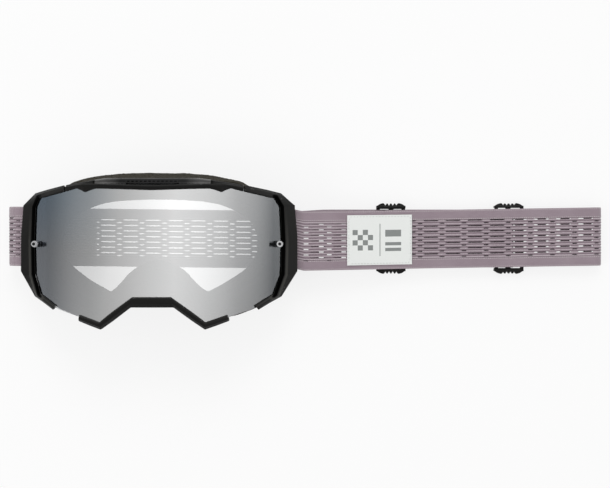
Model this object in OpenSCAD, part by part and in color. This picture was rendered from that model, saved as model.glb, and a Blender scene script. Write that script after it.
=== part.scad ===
// Motocross goggles lying lens up, with their elastic strap laid out flat to one side.
// X runs along the strap, Y up the face, Z from the table to the lens. Millimetres.
// The origin is on the table under the middle of the goggles.

/* [Lens] */
// Radius of the lens's front face, a cylinder along Y
lens_r = 114; // [110:1:125]
// Thickness of the lens
lens_t = 1.5; // [1:0.1:2]
// Height of the lens's side edges above the table
lens_edge_z = 30.3; // [29:0.1:33]
// Half the lens's width at its widest
lens_half_w = 83.8; // [80:0.2:88]
// Height of the brow edge above the middle
lens_top = 32; // [30:0.5:34]
// Height of the lens's upper corner
lens_corner_top = 27.5; // [25:0.5:29]
// Drop of the lens's lower corner
lens_corner_low = 37.4; // [35:0.2:40]
// Drop of the lowest point, beside the nose
lens_low = 55.6; // [53:0.2:58]
// Half the spacing of the two lowest points
lens_low_x = 34; // [31:0.5:36]
// Drop of the lens's edge over the nose
nose_drop = 39.2; // [37:0.2:41]
// Half the width of the edge over the nose
nose_half_w = 12.8; // [11:0.2:15]

/* [Frame] */
// Thickness of the soft inner frame's wall
wall_t = 2.2; // [1.8:0.1:3]
// Thickness of the lens gasket
gasket_t = 1.6; // [1:0.1:2]
// Width of the frame's rim behind the lens
rim_w = 4.6; // [4:0.1:6]
// Radius of the face side, a cylinder along Y
face_r = 190; // [170:1:220]
// Height of the face side's middle above the table
face_z = 21.4; // [21.4:0.2:24]
// Thickness of the flange that the face foam is glued to
flange_t = 2; // [1.5:0.1:2.5]
// Height of the frame's outer edge at the brow
flange_top = 41.4; // [41:0.2:44]
// How far the frame stands out beyond the lens at the temples
flange_out = 3.2; // [2:0.1:4]
// Width of each vent window in the brow
vent_w = 13; // [8:0.5:15]

/* [Foam] */
// Thickness of the open-cell base layer
foam_base_t = 8; // [6:0.5:9]
// Thickness of the dense middle layer
foam_mid_t = 6; // [4:0.5:7]
// Thickness of the fleece against the face
fleece_t = 3; // [2:0.5:4]
// Thickness of the foam over the vents
vent_foam_t = 2.4; // [1.5:0.1:3]

/* [Outriggers and bars] */
// How far an outrigger stands out beyond the lens's edge
outrigger_w = 9.1; // [8:0.1:11]
// Thickness of the lip that laps the lens
lip_t = 1.6; // [1.2:0.1:2.2]
// How far the lips lap the lens
lip_lap = 1.5; // [1:0.1:2.5]
// Thickness of the hard side pieces and bars
shell_t = 2; // [1.5:0.1:2.5]
// Height of the top bar's upper edge
bar_top = 38.5; // [37.5:0.25:40]
// Depth of the scooped recess in the top bar
recess_d = 4.2; // [2:0.2:5]
// Half the length of the scooped recess
recess_half_l = 38; // [32:1:40]
// Width of the nose bar
nose_bar_w = 5; // [4:0.25:6]
// Radius of the bar that each strap end loops round
strap_bar_r = 1.5; // [1:0.1:1.8]

/* [Tear-off posts] */
// Radius of a post's pin
post_r = 1.7; // [1.5:0.1:1.9]
// Radius of the collar that the pin stands on
collar_r = 2.1; // [2:0.1:2.4]
// Height of the posts' tops above the lens's side edges
post_h = 10.2; // [9.5:0.1:11]
// Length of the pin above its collar
pin_l = 2.3; // [2:0.1:2.5]
// Distance of the posts from the lens's side edges
post_inset = 2.5; // [2.4:0.1:5]
// Drop of the posts below the middle
post_drop = 3.8; // [0:0.2:10]

/* [Strap] */
// Width of the strap
strap_w = 40; // [36:1:42]
// Thickness of the strap
strap_t = 1.2; // [1:0.1:1.4]
// Right end of the strap's fold
fold_x = 302.4; // [296:0.5:330]
// How far the strap's bend stands out beyond the lens's left edge
bend_out = 24; // [23:0.2:30]
// Length of a long slot in the weave
slot_l = 10.8; // [8:0.2:12]
// Width of a slot
slot_w = 1; // [0.6:0.1:1.3]
// Spacing of the slot columns
slot_step = 15.5; // [15:0.1:18]
// Spacing of the slot rows
row_step = 3.8; // [3.4:0.1:4]

/* [Strap adjusters] */
// Length of an adjuster across the strap
slider_l = 49; // [48:0.5:54]
// Width of an adjuster along the strap
slider_w = 20; // [18:0.5:22]
// Thickness of an adjuster's bars
slider_bar_t = 1.4; // [1.2:0.1:1.6]
// Place of the adjuster sewn to the right half
slider_a_x = 157.3; // [150:0.5:165]
// Place of the adjuster sewn to the left half
slider_b_x = 238.6; // [232:0.5:246]

/* [Labels] */
// Length of a woven label along the strap
label_l = 43; // [36:1:48]
// Height of a woven label
label_h = 34; // [28:1:36]
// Thickness of a woven label
label_t = 0.6; // [0.4:0.1:1]
// Left end of the front label
label_x = 127.2; // [120:0.5:130]

/* [Hidden] */

gap = 0.3;          // clearance between pieces that seat on each other
fit = 0.2;          // clearance in the adjusters' channels
lens_axis_z = lens_edge_z - sqrt(lens_r * lens_r - lens_half_w * lens_half_w);
lens_z = lens_axis_z + lens_r;
flange_half_w = lens_half_w + flange_out;
post_x = lens_half_w - post_inset;
gasket_r = lens_r - lens_t - 0.1;
rim_r = gasket_r - gasket_t - 0.1;
foam_t = foam_base_t + foam_mid_t + fleece_t;
face_axis_z = face_z - face_r;

// Heights of the lens's front, the frame's rim and any layer above the face side
function arc_z(x, r, axis_z) = axis_z + sqrt(r * r - x * x);
function lens_front(x) = arc_z(x, lens_r, lens_axis_z);
function rim_z(x) = arc_z(x, rim_r, lens_axis_z);
function face_level(x, up) = arc_z(x, face_r + up, face_axis_z);

// Plane vectors
function unit(v) = v / norm(v);
function flip(p) = [-p.x, p.y];
function mix(a, b, s) = a + (b - a) * s;

// A closed loop grown outwards by d with mitred corners; its points run clockwise
function side_normal(a, b) = let (d = unit(b - a)) [-d.y, d.x];
function grow(loop, d) = [for (i = [0:len(loop) - 1])
  let (n = len(loop), a = loop[(i + n - 1) % n], b = loop[i], c = loop[(i + 1) % n],
       n1 = side_normal(a, b), n2 = side_normal(b, c))
  b + (n1 + n2) * d / (1 + n1 * n2)];

// Right half of the lens's outline, from the brow's middle round to the nose's middle
function wide(share) = lens_half_w * share;
lens_half = [[0, lens_top], [wide(0.24), lens_top + 0.6], [wide(0.39), lens_top + 1],
  [wide(0.6), lens_top + 1.4],
  [lens_half_w - 4.8, lens_corner_top], [lens_half_w - 1, 21], [lens_half_w, -2],
  [lens_half_w - 0.6, -24], [lens_half_w - 5.5, -lens_corner_low],
  [wide(0.764), mix(-lens_corner_low, -lens_low, 0.49)], [lens_low_x + 14, -lens_low + 4.4],
  [lens_low_x, -lens_low], [nose_half_w, -nose_drop], [0, -nose_drop]];
// The flange's outer edge and the foam's inner edge, point for point with the lens
flange_half = [[0, flange_top], [wide(0.25), flange_top - 0.2], [wide(0.43), flange_top - 1.5],
  [wide(0.62), flange_top - 4.6], [wide(0.895), lens_corner_top + 2.5], [flange_half_w - 3.5, 20],
  [flange_half_w, -2], [flange_half_w - 2.5, -24], [wide(0.895), -lens_corner_low - 0.6],
  [wide(0.716), -45], [lens_low_x + 12, -lens_low + 6.6], [lens_low_x, -lens_low + 5.1],
  [nose_half_w + 5.2, -nose_drop + 2.2], [0, -nose_drop + 8.2]];
inner_half = [[0, 25.4], [wide(0.2), 25], [wide(0.36), 24], [wide(0.525), 21], [wide(0.67), 15],
  [wide(0.75), 8], [wide(0.79), -4], [wide(0.75), -14], [wide(0.68), -20.5], [wide(0.55), -28],
  [wide(0.45), -32.5], [wide(0.36), -34.2], [nose_half_w + 2.7, -20], [0, -14]];

function whole(half) = concat(half, [for (i = [len(half) - 2:-1:1]) flip(half[i])]);
lens_loop = whole(lens_half);
flange_loop = whole(flange_half);
inner_loop = whole(inner_half);

// Points between the corners of a loop: straight, or on a Catmull-Rom curve
steps = 5;
function at(loop, i) = loop[(i + len(loop)) % len(loop)];
function curve(a, b, c, d, t) = 0.5 * ((2 * b) + (c - a) * t + (2 * a - 5 * b + 4 * c - d) * t * t
  + (3 * b - a - 3 * c + d) * t * t * t);
function straight_loop(loop) = [for (i = [0:len(loop) - 1], k = [0:steps - 1])
  mix(at(loop, i), at(loop, i + 1), k / steps)];
function smooth_loop(loop) = [for (i = [0:len(loop) - 1], k = [0:steps - 1])
  curve(at(loop, i - 1), at(loop, i), at(loop, i + 1), at(loop, i + 2), k / steps)];
lens_line = straight_loop(grow(lens_loop, -gap));
flange_line = smooth_loop(flange_loop);
inner_line = smooth_loop(inner_loop);
stations = len(lens_line);

// A body through rows of points, each row a cross-section; closed rings join end to start
function quad(a, b, c, d) = [[a, b, c], [a, c, d]];
module loft(rows, closed = false) {
  n = len(rows);
  m = len(rows[0]);
  last = closed ? n - 1 : n - 2;
  sides = [for (i = [0:last], j = [0:m - 1]) let (k = (i + 1) % n, l = (j + 1) % m)
    each quad(i * m + j, i * m + l, k * m + l, k * m + j)];
  caps = closed ? [] : [[for (j = [m - 1:-1:0]) j], [for (j = [0:m - 1]) (n - 1) * m + j]];
  polyhedron(points = [for (r = rows) each r], faces = concat(sides, caps));
}

// A point beside p, s along direction d, at height z
function beside(p, d, s, z) = [p.x + d.x * s, p.y + d.y * s, z];

// Inner frame: one section of the soft shell between the lens's rim and the face flange
flange_share = 0.62;
function wall_foot(i) = mix(flange_line[i], inner_line[i], 0.5 / norm(inner_line[i] - flange_line[i]));
function frame_section(i) =
  let (p = lens_line[i], f = wall_foot(i), q = mix(f, inner_line[i], flange_share),
       dp = unit(inner_line[i] - p), df = unit(inner_line[i] - f),
       z = face_level(f.x, foam_t + gap), zq = face_level(q.x, foam_t + gap),
       foot = f + df * wall_t, head = p + dp * wall_t, edge = p + dp * rim_w)
  [[f.x, f.y, z + flange_t], [f.x, f.y, z], [q.x, q.y, zq], [q.x, q.y, zq + flange_t],
   [foot.x, foot.y, face_level(foot.x, foam_t + gap) + flange_t + 0.6],
   [head.x, head.y, rim_z(head.x) - wall_t], [edge.x, edge.y, rim_z(edge.x) - wall_t],
   [edge.x, edge.y, rim_z(edge.x)], [p.x, p.y, rim_z(p.x)]];

vent_xs = [for (i = [-2.5:2.5]) i * wide(0.215)];
low_vent_xs = [for (i = [-1, 1], k = [0.513, 0.656]) i * wide(k)];
module inner_frame() {
  color([0.09, 0.09, 0.09]) difference() {
    loft([for (i = [0:stations - 1]) frame_section(i)], closed = true);
    for (x = vent_xs)
      translate([x - vent_w / 2, lens_top - 4, face_level(x, foam_t) + 6]) cube([vent_w, 20, 8]);
    for (x = low_vent_xs)
      translate([x - 4, -lens_low - 4.4, face_level(x, foam_t) + 5.5]) cube([8, 24, 4.5]);
  }
}

// A sheet bent round an axis along Y: from radius r0 to r1
tall = 140;
module bent_sheet(r0, r1, axis_z) {
  translate([0, tall / 2, axis_z]) rotate([90, 0, 0]) difference() {
    cylinder(r = r1, h = tall, $fn = 180);
    translate([0, 0, -1]) cylinder(r = r0, h = tall + 2, $fn = 180);
  }
}

// Posts stand upright in the lens, close to its side edges
module at_post(side) {
  translate([side * post_x, -post_drop, 0]) children();
}
stem_r = 1.1;
module lens() {
  color([0.72, 0.75, 0.78]) difference() {
    intersection() {
      bent_sheet(lens_r - lens_t, lens_r, lens_axis_z);
      linear_extrude(height = 100) polygon(lens_loop);
    }
    for (side = [-1, 1]) at_post(side) cylinder(r = stem_r + 0.1, h = 60, $fn = 32);
  }
}

gasket_w = 3.2;
module lens_gasket() {
  color([0.2, 0.2, 0.2]) intersection() {
    bent_sheet(gasket_r - gasket_t, gasket_r, lens_axis_z);
    linear_extrude(height = 100) difference() {
      polygon(grow(lens_loop, -2 * gap));
      polygon(grow(lens_loop, -gasket_w));
    }
  }
}

// Post: a stem that fills the lens's hole, a collar cut to the lens's curve, and a hollow pin
module drum(r) {
  translate([0, tall / 2, lens_axis_z]) rotate([90, 0, 0]) cylinder(r = r, h = tall, $fn = 180);
}
module tearoff_post(side) {
  top = lens_edge_z + post_h;
  color([0.85, 0.85, 0.87]) difference() {
    union() {
      at_post(side) cylinder(r = stem_r, h = top - pin_l, $fn = 32);
      difference() {
        at_post(side) union() {
          cylinder(r = collar_r, h = top - pin_l, $fn = 48);
          cylinder(r = post_r, h = top, $fn = 48);
        }
        drum(lens_r + gap / 3);
      }
    }
    drum(lens_r - lens_t);
    at_post(side) translate([0, 0, top - 0.8]) cylinder(r = post_r / 2, h = 2, $fn = 6);
  }
}
module tearoff_post_right() { tearoff_post(1); }
module tearoff_post_left() { tearoff_post(-1); }

// Outrigger stations: lens edge, outer edge, crease share, height of the outer edge
arm_top = wide(0.704);
out_x = lens_half_w + outrigger_w;
arm_y = mix(lens_half[3], lens_half[4], (arm_top - lens_half[3].x) / (lens_half[4].x - lens_half[3].x)).y;
outrigger_rows = [
  [[arm_top, arm_y], [arm_top, arm_y + 3], 0.5, lens_front(arm_top) + 0.8],
  [mix(lens_half[3], lens_half[4], 0.8), mix(lens_half[3], lens_half[4], 0.8) + [0, 3.4], 0.5,
    lens_front(lens_half_w - 10) - 0.6],
  [lens_half[4], [lens_half_w - 1.8, lens_corner_top + 2.6], 0.45, lens_front(lens_half_w - 2) + 0.6],
  [lens_half[5], [out_x - 1.8, 22.1], 0.25, lens_edge_z - 1.7],
  [lens_half[6], [out_x, 1.6], 0.2, lens_edge_z - 2.5],
  [lens_half[7], [out_x, -22], 0.22, lens_edge_z - 2.1],
  [lens_half[8], [lens_half_w - 1.4, -lens_corner_low - 1.4], 0.45, lens_front(lens_half_w - 2) + 0.4],
  [mix(lens_half[8], lens_half[9], 0.4), mix(lens_half[8], lens_half[9], 0.4) + [2, -1.9], 0.5,
    lens_front(wide(0.883)) + 0.4],
  [mix(lens_half[8], lens_half[9], 0.86), mix(lens_half[8], lens_half[9], 0.86) + [1.4, -2], 0.5,
    lens_front(wide(0.8)) + 1]];
arm_steps = 4;
function blend_rows(rows, n) = concat([for (i = [0:len(rows) - 2], k = [0:n - 1])
  mix(rows[i], rows[i + 1], k / n)], [rows[len(rows) - 1]]);
function outrigger_section(r) =
  let (p = r[0], o = r[1], d = unit(o - p), w = norm(o - p), c = max(w * r[2], 1.2),
       zi = lens_front(p.x - d.x * lip_lap) + 0.15, ze = lens_front(p.x) + 0.15,
       zw = rim_z(p.x) - 0.2, under = min(r[3] - shell_t, ze + 0.6),
       wo = min(w, gap + shell_t))
  [beside(p, d, gap, ze), beside(p, d, -lip_lap, zi), beside(p, d, -lip_lap, zi + 0.7),
   beside(p, d, -lip_lap + 0.8, lens_front(p.x - d.x * (lip_lap - 0.8)) + lip_t),
   beside(p, d, c, lens_front(p.x) + lip_t + 0.2 - 0.5 * c),
   beside(p, d, w - 0.5, r[3]), beside(p, d, w, r[3] - 0.6),
   beside(p, d, w, under - 0.8), beside(p, d, wo, under - 0.8 - 0.01 * w),
   beside(p, d, wo, zw), beside(p, d, gap, zw)];
bar_x = out_x - 3.4;
bar_z = lens_edge_z - 9.1;
ear_y = strap_w / 2 + 0.5;
ear_t = 2;
ear_h = 8.2;
module outrigger() {
  color([0.06, 0.06, 0.06]) {
    difference() {
      loft([for (r = blend_rows(outrigger_rows, arm_steps)) outrigger_section(r)]);
      at_post(1) cylinder(r = collar_r + 0.25, h = 60, $fn = 24);
    }
    translate([bar_x, ear_y + ear_t / 2, bar_z]) rotate([90, 0, 0])
      cylinder(r = strap_bar_r, h = 2 * ear_y + ear_t, $fn = 32);
    for (side = [-1, 1])
      translate([bar_x - 2.2, side * (ear_y + ear_t / 2) - ear_t / 2, bar_z - 2.2])
        cube([3.9, ear_t, ear_h]);
  }
}
module outrigger_right() { outrigger(); }
module outrigger_left() { mirror([1, 0, 0]) outrigger(); }

// Top bar: stations across the brow, lens edge height and the bar's upper edge
fang_x = 44.4;
bar_xs = [0, 9, 17, 24, 30, 34, 37, 40, 42.5, fang_x, 46.5, lens_half[3].x, 54, arm_top - 1];
function brow_edge(x) = lookup(x, [for (p = [for (i = [0:4]) lens_half[i]]) [p.x, p.y]]);
function brow_top(x) = lookup(x, [[0, bar_top], [recess_half_l - 8, bar_top + 0.2],
  [recess_half_l, bar_top - 0.9], [fang_x, 36.6], [50, 35.9], [arm_top, arm_y + 2.9]]);
function brow_lip(x) = brow_edge(x) - lookup(x, [[0, lip_lap], [38, lip_lap - 0.2], [fang_x, lip_lap + 2.2],
  [49, lip_lap - 0.4], [arm_top, lip_lap]]);
function scoop(x) = x >= recess_half_l ? 0 : recess_d * (1 - pow(x / recess_half_l, 4));
bar_drop = 5.5;
function bar_section(x, ax) =
  let (e = brow_edge(ax), t = brow_top(ax), l = brow_lip(ax), z = lens_front(ax), s = scoop(ax),
       ridge = min(e + 1.4, t - 1.6))
  [[x, e + gap, z + 0.15], [x, e + gap + 1.2, z - bar_drop],
   [x, t, z - bar_drop - 0.15 * (t - e)], [x, t, z - s - 0.6], [x, t - 0.7, z - s + 0.6],
   [x, mix(ridge, t, 0.24), z - s + 0.4 + 0.1 * s], [x, ridge + 0.3, z + 2.2 - 0.1 * s],
   [x, ridge - 0.6, z + lip_t + 0.8], [x, l, z + 1], [x, l, z + 0.15]];
bar_line = concat([for (i = [len(bar_xs) - 1:-1:1]) -bar_xs[i]], bar_xs);
module top_bar() {
  color([0.05, 0.05, 0.05]) loft([for (x = bar_line) bar_section(x, abs(x))]);
}

// Grille: a strip that follows the recess, with upright ribs
grille_half_l = 17;
grille_ribs = 12;
module recess_grille() {
  floor_r = lens_r - recess_d + 1.1;
  y0 = lens_top + 3.2;
  y1 = bar_top - 1;
  color([0.04, 0.04, 0.04]) intersection() {
    bent_sheet(floor_r, floor_r + 1.8, lens_axis_z);
    union() {
      translate([-grille_half_l, y0, lens_z - 20]) cube([2 * grille_half_l, 0.8, 40]);
      translate([-grille_half_l, y1 - 0.8, lens_z - 20]) cube([2 * grille_half_l, 0.8, 40]);
      for (i = [0:grille_ribs])
        translate([mix(-grille_half_l, grille_half_l - 1, i / grille_ribs), y0, lens_z - 20])
          cube([1, y1 - y0, 40]);
    }
  }
}

// Nose bar: laps the lens's edge from one lowest point over the nose to the other
tip = [lens_low_x + 14.3, -lens_low + 4.5];
nose_mid_y = mix(-lens_low, -nose_drop, 0.283);
nose_rows = [[tip, tip + [0.6, -2.6]],
  [[lens_low_x + 7, -lens_low + 2.2], [lens_low_x + 7.4, -lens_low - 0.8]],
  [[lens_low_x, -lens_low], [lens_low_x - 0.4, -lens_low - 3.4]],
  [[lens_low_x - 6, nose_mid_y], [lens_low_x - 8.2, nose_mid_y - 2.6]],
  [[nose_half_w, -nose_drop], [nose_half_w + 1, -nose_drop - nose_bar_w - 0.3]],
  [[0, -nose_drop], [0, -nose_drop - nose_bar_w - 0.3]]];
nose_side = blend_rows(nose_rows, 3);
nose_line = concat(nose_side, [for (i = [len(nose_side) - 2:-1:0])
  [flip(nose_side[i][0]), flip(nose_side[i][1])]]);
function nose_section(r) =
  let (p = r[0], d = unit(r[1] - r[0]), w = norm(r[1] - r[0]), z = lens_front(p.x),
       zi = lens_front(p.x - d.x * lip_lap) + 0.15)
  [beside(p, d, gap, z + 0.15), beside(p, d, -lip_lap, zi), beside(p, d, -lip_lap, zi + 0.9),
   beside(p, d, -lip_lap + 0.9, z + lip_t + 0.3), beside(p, d, w * 0.45, z + lip_t),
   beside(p, d, w, z - 0.8), beside(p, d, w, z - 6), beside(p, d, gap, z - 6)];
module nose_bar() {
  color([0.05, 0.05, 0.05]) loft([for (r = nose_line) nose_section(r)]);
}

// Vent foams: strips that lie on the frame's wall between two shares of its height
function wall_point(i, s, out) =
  let (p = lens_line[i], f = wall_foot(i), d = unit(f - inner_line[i]), q = mix(p, f, s),
       zp = rim_z(p.x), zf = face_level(f.x, foam_t + gap) + flange_t)
  [q.x + d.x * out, q.y + d.y * out, mix(zp, zf, s) + out * 0.25];
function foam_row(i, s0, s1) = [wall_point(i, s0, gap), wall_point(i, s0, gap + vent_foam_t),
  wall_point(i, s1, gap + vent_foam_t), wall_point(i, s1, gap)];
module vent_strip(i0, i1, s0, s1) {
  loft([for (i = [i0:i1]) foam_row((i + stations) % stations, s0, s1)]);
}
module brow_vent_foam() {
  color([0.2, 0.17, 0.14]) vent_strip(-17, 17, 0.42, 0.97);
}
module lower_vent_foams() {
  color([0.2, 0.17, 0.14]) {
    vent_strip(42, 52, 0.45, 0.95);
    vent_strip(stations - 52, stations - 42, 0.45, 0.95);
  }
}

// Face foam: layers between two heights above the face side, each a little narrower
function foam_section(i, low, high, inset) =
  let (f = flange_line[i], q = inner_line[i], d = unit(q - f), a = f + d * inset, b = q - d * inset * 0.4)
  [[a.x, a.y, face_level(a.x, high)], [a.x, a.y, face_level(a.x, low)],
   [b.x, b.y, face_level(b.x, low)], [b.x, b.y, face_level(b.x, high)]];
module foam_layer(low, high, inset) {
  loft([for (i = [0:stations - 1]) foam_section(i, low, high, inset)], closed = true);
}
seam = 0.05;
module face_foam_base() {
  color([0.22, 0.19, 0.16]) foam_layer(fleece_t + foam_mid_t + seam, foam_t, 1);
}
module face_foam_middle() {
  color([0.12, 0.12, 0.12]) foam_layer(fleece_t + seam, fleece_t + foam_mid_t - seam, 1.6);
}
module face_foam_fleece() {
  color([0.08, 0.08, 0.08]) foam_layer(0, fleece_t - seam, 2.4);
}

// Strap: side profile along X, given as a centre line in X and Z, extruded across its width
function path_normal(path, i) =
  let (n = len(path), a = path[max(i - 1, 0)], b = path[min(i + 1, n - 1)], d = unit(b - a)) [-d.y, d.x];
function band(path, t, off = 0) = concat(
  [for (i = [0:len(path) - 1]) path[i] + path_normal(path, i) * (off + t / 2)],
  [for (i = [len(path) - 1:-1:0]) path[i] + path_normal(path, i) * (off - t / 2)]);
module across(path, t, w, off = 0) {
  translate([0, w / 2, 0]) rotate([90, 0, 0]) linear_extrude(height = w) polygon(band(path, t, off));
}
function arc_path(c, r, a0, a1, n) = [for (i = [0:n]) let (a = a0 + (a1 - a0) * i / n)
  c + r * [cos(a), sin(a)]];
function ease(s) = s * s * (3 - 2 * s);

// Slots: columns of long slots with short ones between them, on seven rows
rows_half = 3;
short_l = slot_l * 0.3;
module slots(x0, x1, shift) {
  first = ceil((x0 - shift + slot_l / 2) / slot_step - 0.5);
  last = floor((x1 - shift - slot_l / 2) / slot_step - 0.5);
  for (i = [first:last], r = [-rows_half:rows_half])
    translate([(i + 0.5) * slot_step + shift - slot_l / 2, r * row_step - slot_w / 2])
      square([slot_l, slot_w]);
  for (i = [first:last - 1], r = [-rows_half - 1:rows_half - 1])
    translate([(i + 1) * slot_step + shift - short_l / 2, (r + 0.5) * row_step - slot_w / 2])
      square([short_l, slot_w]);
}
module slotted(x0, x1, s0, s1, shift = 0) {
  intersection() {
    children();
    linear_extrude(height = 80) difference() {
      translate([x0, -strap_w / 2 - 1]) square([x1 - x0, strap_w + 2]);
      slots(s0, s1, shift);
    }
  }
}

// Levels of the strap's layers where they pass through the adjusters
loop_low = strap_t / 2;                                        // sewn loop under adjuster b
bar_low = strap_t + 0.1;                                       // bottom of the low bars
left_level = bar_low + slider_bar_t + 0.1 + strap_t / 2;       // left half's rear layer
right_level = left_level + strap_t + fit;                      // right half's rear layer
bar_high = right_level + strap_t / 2 + fit;                    // bottom of the high bars
loop_high = bar_high + slider_bar_t + 0.1 + strap_t / 2;       // sewn loop over adjuster a
anchor_r = strap_bar_r + 0.1 + strap_t / 2;
anchor_top = bar_z + anchor_r;
rear_level = strap_t / 2;
fold_r = (loop_high + 0.9) / 2;
run_level = 2 * fold_r + strap_t / 2;

// Sewn loop round an outrigger's bar, tail below, leaving along the top
function anchor_path() = concat(
  [[bar_x + 12, anchor_top - strap_t - 0.7], [bar_x + 5, anchor_top - strap_t - 1]],
  arc_path([bar_x, bar_z], anchor_r, -65, -270, 10));

// Left half: bend from the outrigger down to the rear layer, then the band to adjuster b
bend_r = (anchor_top - rear_level) / 2;
bend_c = [-lens_half_w - bend_out + strap_t / 2 + bend_r, rear_level + bend_r];
band_x0 = -88;
module strap_left_bend() {
  color([0.62, 0.56, 0.58]) across(concat(
    [[-bar_x - 7, anchor_top - strap_t - 0.4], [-bar_x - 4, anchor_top - strap_t - 1.3]],
    arc_path([-bar_x, bar_z], anchor_r, -105, 90, 10),
    arc_path(bend_c, bend_r, 92, 268, 24), [[band_x0 - 0.02, rear_level]]), strap_t, strap_w);
}
ramp_x = [flange_half_w + 1.5, flange_half_w + 17];
end_b = slider_b_x + 1.9;
hump_x = [-82, -42];
hump = label_t + 0.1;
function slope(x, x0, length) = ease(min(max((x - x0) / length, 0), 1));
function left_rear(x) = mix(rear_level, left_level, slope(x, ramp_x[0], ramp_x[1] - ramp_x[0]))
  + hump * slope(x, hump_x[0], 4) * slope(-x, -hump_x[1], 4);
turn_r = (left_level - loop_low) / 2;
left_path = concat([for (x = [band_x0, hump_x[0], hump_x[0] + 2, hump_x[0] + 4, hump_x[1] - 4,
    hump_x[1] - 2, hump_x[1]]) [x, left_rear(x)]],
  [for (i = [0:8]) let (x = mix(ramp_x[0], ramp_x[1], i / 8)) [x, left_rear(x)]],
  arc_path([end_b, loop_low + turn_r], turn_r, 90, -90, 10),
  [[slider_b_x - slider_w / 2, loop_low], [slider_b_x - slider_w / 2 - 4, left_level - strap_t - 0.05],
   [slider_b_x - slider_w / 2 - 12, left_level - strap_t - 0.05]]);
module strap_left_band() {
  color([0.62, 0.56, 0.58]) slotted(band_x0, end_b + 6, hump_x[1] + 2, slider_b_x - slider_w / 2 - 14)
    across(left_path, strap_t, strap_w);
}

// Right half: front layer from the outrigger, run to the fold, fold, rear band to adjuster a
run_x = 198;
front_shift = 5.2;   // where the slot columns fall on the front layer
rear_shift = -2;     // and on the right half's rear layer
seam_x = label_x + label_l + 2;
bulb_x = fold_x - 14;
function front_level(x) = mix(anchor_top, run_level, slope(x, bar_x, run_x - bar_x));
function front_path(x0, x1, n) = [for (i = [0:n]) let (x = mix(x0, x1, i / n)) [x, front_level(x)]];
module strap_right_front() {
  color([0.62, 0.56, 0.58]) slotted(bar_x - 6, seam_x, out_x, label_x + 1, front_shift)
    across(concat(anchor_path(), front_path(bar_x + 2, seam_x, 24)), strap_t, strap_w);
}
module strap_right_run() {
  color([0.62, 0.56, 0.58]) slotted(seam_x + 0.02, bulb_x - 0.02, seam_x, bulb_x + 6, front_shift)
    across(concat(front_path(seam_x - 1, run_x, 8), [[bulb_x + 1, run_level]]), strap_t, strap_w);
}
bulb_r = (run_level - rear_level) / 2;
bulb_c = [fold_x - strap_t / 2 - bulb_r, rear_level + bulb_r];
module strap_right_fold() {
  color([0.62, 0.56, 0.58]) across(concat([[bulb_x, run_level]],
    arc_path(bulb_c, bulb_r, 90, -90, 20),
    [[mix(bulb_c.x, bulb_x, 0.4), mix(rear_level, right_level, 0.3)],
     [mix(bulb_c.x, bulb_x, 0.8), mix(rear_level, right_level, 0.92)], [bulb_x, right_level]]),
    strap_t, strap_w);
}
end_a = slider_a_x - 1.9;
turn_a = (loop_high - right_level) / 2;
right_path = concat([[bulb_x - 0.02, right_level]],
  arc_path([end_a, right_level + turn_a], turn_a, 270, 90, 10),
  [[slider_a_x + slider_w / 2 - 2, loop_high], [slider_a_x + slider_w / 2 + 3, right_level + strap_t + 0.05],
   [slider_a_x + slider_w / 2 + 10.5, right_level + strap_t + 0.05]]);
module strap_right_band() {
  slots_from = slider_a_x + slider_w / 2 + 12;
  color([0.62, 0.56, 0.58]) slotted(end_a - 6, bulb_x - 0.02, slots_from, bulb_x, rear_shift)
    across(right_path, strap_t, strap_w);
}

// Adjuster seen from above: two toothed ends; bars join them at two levels
rail_y = strap_w / 2 + 1.2;
teeth = 3;
tip_x = slider_w * 0.26;
tooth_drop = 0.7;
valley_drop = 1.7;
module toothed_end(z0, z1) {
  h = slider_l / 2 - rail_y;
  side = [for (p = [[1, 0], [0.96, 0.35], [0.87, 0.6], [0.73, 0.83]]) [p.x * slider_w / 2, p.y * h]];
  last = 2 * teeth + 2;
  crest = [for (i = [0:last]) [tip_x * (1 - 2 * i / last),
    h - (i == 0 || i == last ? 0 : i % 2 == 0 ? tooth_drop : valley_drop)]];
  translate([0, rail_y, z0]) linear_extrude(height = z1 - z0)
    polygon(concat(side, crest, [for (i = [len(side) - 1:-1:0]) flip(side[i])]));
}
module slider(centre_z, ends_z) {
  low = min(centre_z, ends_z);
  high = max(centre_z, ends_z) + slider_bar_t;
  for (side = [0, 1]) mirror([0, side, 0]) {
    toothed_end(low + 1, high - 1);
    translate([-slider_w / 2, rail_y, low]) cube([slider_w, 1.4, high - low]);
  }
  translate([-1.7, -rail_y - 0.5, centre_z]) cube([3.4, 2 * rail_y + 1, slider_bar_t]);
  for (x = [-slider_w / 2, slider_w / 2 - 2.4])
    translate([x, -rail_y - 0.5, ends_z]) cube([2.4, 2 * rail_y + 1, slider_bar_t]);
}
module slider_a() {
  color([0.1, 0.1, 0.1]) translate([slider_a_x, 0, 0]) slider(bar_high, bar_low);
}
module slider_b() {
  color([0.1, 0.1, 0.1]) translate([slider_b_x, 0, 0]) slider(bar_low, bar_high);
}

// Labels: thin woven patches sewn flat on the strap
module label_front() {
  color([0.93, 0.93, 0.93]) across(front_path(label_x, label_x + label_l, 14), label_t, label_h,
    strap_t / 2 + label_t / 2 + 0.05);
}
module label_rear() {
  color([0.93, 0.93, 0.93]) translate([hump_x[0] + 4.5, -label_h / 2, 0])
    cube([hump_x[1] - hump_x[0] - 9, label_h, label_t]);
}

inner_frame();
lens();
lens_gasket();
top_bar();
recess_grille();
nose_bar();
outrigger_right();
outrigger_left();
tearoff_post_right();
tearoff_post_left();
brow_vent_foam();
lower_vent_foams();
face_foam_base();
face_foam_middle();
face_foam_fleece();
strap_left_bend();
strap_left_band();
strap_right_front();
strap_right_run();
strap_right_fold();
strap_right_band();
slider_a();
slider_b();
label_front();
label_rear();
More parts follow.
